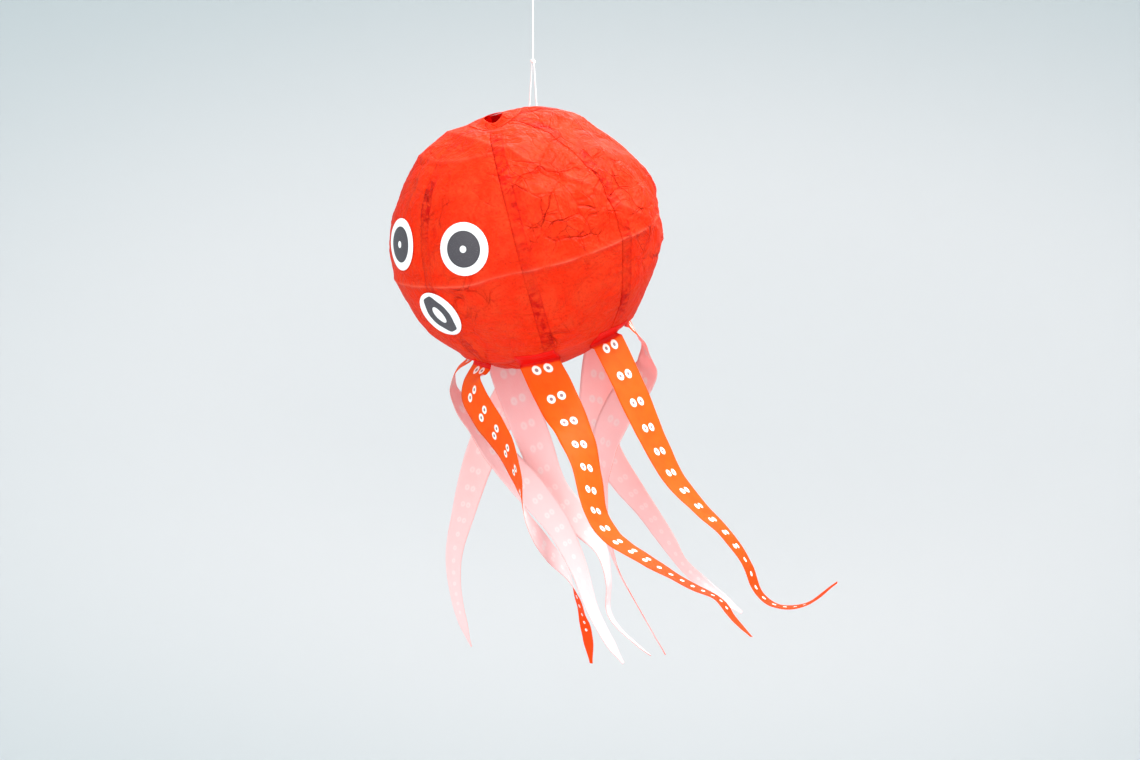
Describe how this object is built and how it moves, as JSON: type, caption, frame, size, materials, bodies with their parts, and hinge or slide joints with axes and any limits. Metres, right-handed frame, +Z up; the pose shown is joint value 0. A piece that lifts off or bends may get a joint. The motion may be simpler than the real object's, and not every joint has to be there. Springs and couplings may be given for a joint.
{
  "type": "paper balloon octopus kite",
  "caption": "Hanging paper-balloon octopus: a leaning red gored balloon with sticker eyes and mouth, tapering sucker-printed paper arms glued below, and a cotton thread with a hang loop.",
  "frame": {"origin": "the inside top of the hang loop, where a hook or a finger bears", "axes": "+Z up along the hanging thread; -Y towards the side from which the face is seen, and +X to the right of that view"},
  "size_m": [0.2526, 0.234, 0.4132],
  "materials": {
    "red_paper": "satin",
    "glued_paper": "satin",
    "orange_paper": "satin",
    "printed_sticker": "satin",
    "cotton_thread": "matt"
  },
  "bodies": {
    "hanger": {"hang_loop": "cotton_thread", "loop_knot": "cotton_thread"},
    "line": {"hang_line": "cotton_thread"},
    "bridle": {"bridle_knot": "cotton_thread", "bridle_thread": "cotton_thread"},
    "balloon": {"gore_1": "red_paper", "gore_2": "red_paper", "gore_3": "red_paper", "gore_4": "red_paper", "gore_5": "red_paper", "gore_6": "red_paper", "gore_7": "red_paper", "gore_8": "red_paper", "top_patch": "red_paper", "base_patch": "red_paper", "eye_left": "printed_sticker", "eye_right": "printed_sticker", "mouth": "printed_sticker", "tab_front_left": "glued_paper", "tab_front": "glued_paper", "tab_front_right": "glued_paper", "tab_right": "glued_paper", "tab_back_right": "glued_paper", "tab_back": "glued_paper", "tab_back_left": "glued_paper", "tab_left": "glued_paper"},
    "arm_front_left": {"arm_front_left": "orange_paper"},
    "arm_front": {"arm_front": "orange_paper"},
    "arm_front_right": {"arm_front_right": "orange_paper"},
    "arm_right": {"arm_right": "orange_paper"},
    "arm_back_right": {"arm_back_right": "orange_paper"},
    "arm_back": {"arm_back": "orange_paper"},
    "arm_back_left": {"arm_back_left": "orange_paper"},
    "arm_left": {"arm_left": "orange_paper"}
  },
  "joints": [
    {"name": "line_swing", "type": "hinge", "parent": "hanger", "child": "line", "pos_m": [0, 0, -0.0163], "axis": [0, 1, 0], "range_deg": [-35, 35]},
    {"name": "line_twist", "type": "hinge", "parent": "line", "child": "bridle", "pos_m": [0, 0, -0.0522], "axis": [0, 0, 1], "continuous": true},
    {"name": "balloon_tilt", "type": "hinge", "parent": "bridle", "child": "balloon", "pos_m": [-0.0001, -0.0001, -0.08105], "axis": [-0.7165, 0.6973, 0.0212], "range_deg": [-25, 25]},
    {"name": "arm_front_left_lift", "type": "hinge", "parent": "balloon", "child": "arm_front_left", "pos_m": [-0.02952, -0.00333, -0.2319], "axis": [-0.4568, 0.8782, 0.1419], "range_deg": [-5, 20]},
    {"name": "arm_front_lift", "type": "hinge", "parent": "balloon", "child": "arm_front", "pos_m": [0.0043, -0.02904, -0.23076], "axis": [-0.9613, 0.1999, -0.1894], "range_deg": [-5, 35]},
    {"name": "arm_front_right_lift", "type": "hinge", "parent": "balloon", "child": "arm_front_right", "pos_m": [0.04328, -0.01847, -0.21755], "axis": [-0.6733, -0.6432, -0.3646], "range_deg": [-5, 35]},
    {"name": "arm_right_lift", "type": "hinge", "parent": "balloon", "child": "arm_right", "pos_m": [0.05599, 0.01104, -0.20552], "axis": [-0.0156, -0.9576, -0.2877], "range_deg": [-2, 30]},
    {"name": "arm_back_right_lift", "type": "hinge", "parent": "balloon", "child": "arm_back_right", "pos_m": [0.0432, 0.04389, -0.1991], "axis": [0.6752, -0.7364, -0.0435], "range_deg": [-5, 30]},
    {"name": "arm_back_lift", "type": "hinge", "parent": "balloon", "child": "arm_back", "pos_m": [0.01129, 0.05979, -0.20265], "axis": [0.9705, -0.0838, 0.2262], "range_deg": [-5, 20]},
    {"name": "arm_back_left_lift", "type": "hinge", "parent": "balloon", "child": "arm_back_left", "pos_m": [-0.02104, 0.04943, -0.21407], "axis": [0.6973, 0.6179, 0.3633], "range_deg": [-2, 15]},
    {"name": "arm_left_lift", "type": "hinge", "parent": "balloon", "child": "arm_left", "pos_m": [-0.03443, 0.02432, -0.22498], "axis": [0.1338, 0.9403, 0.3131], "range_deg": [-3, 25]}
  ]
}
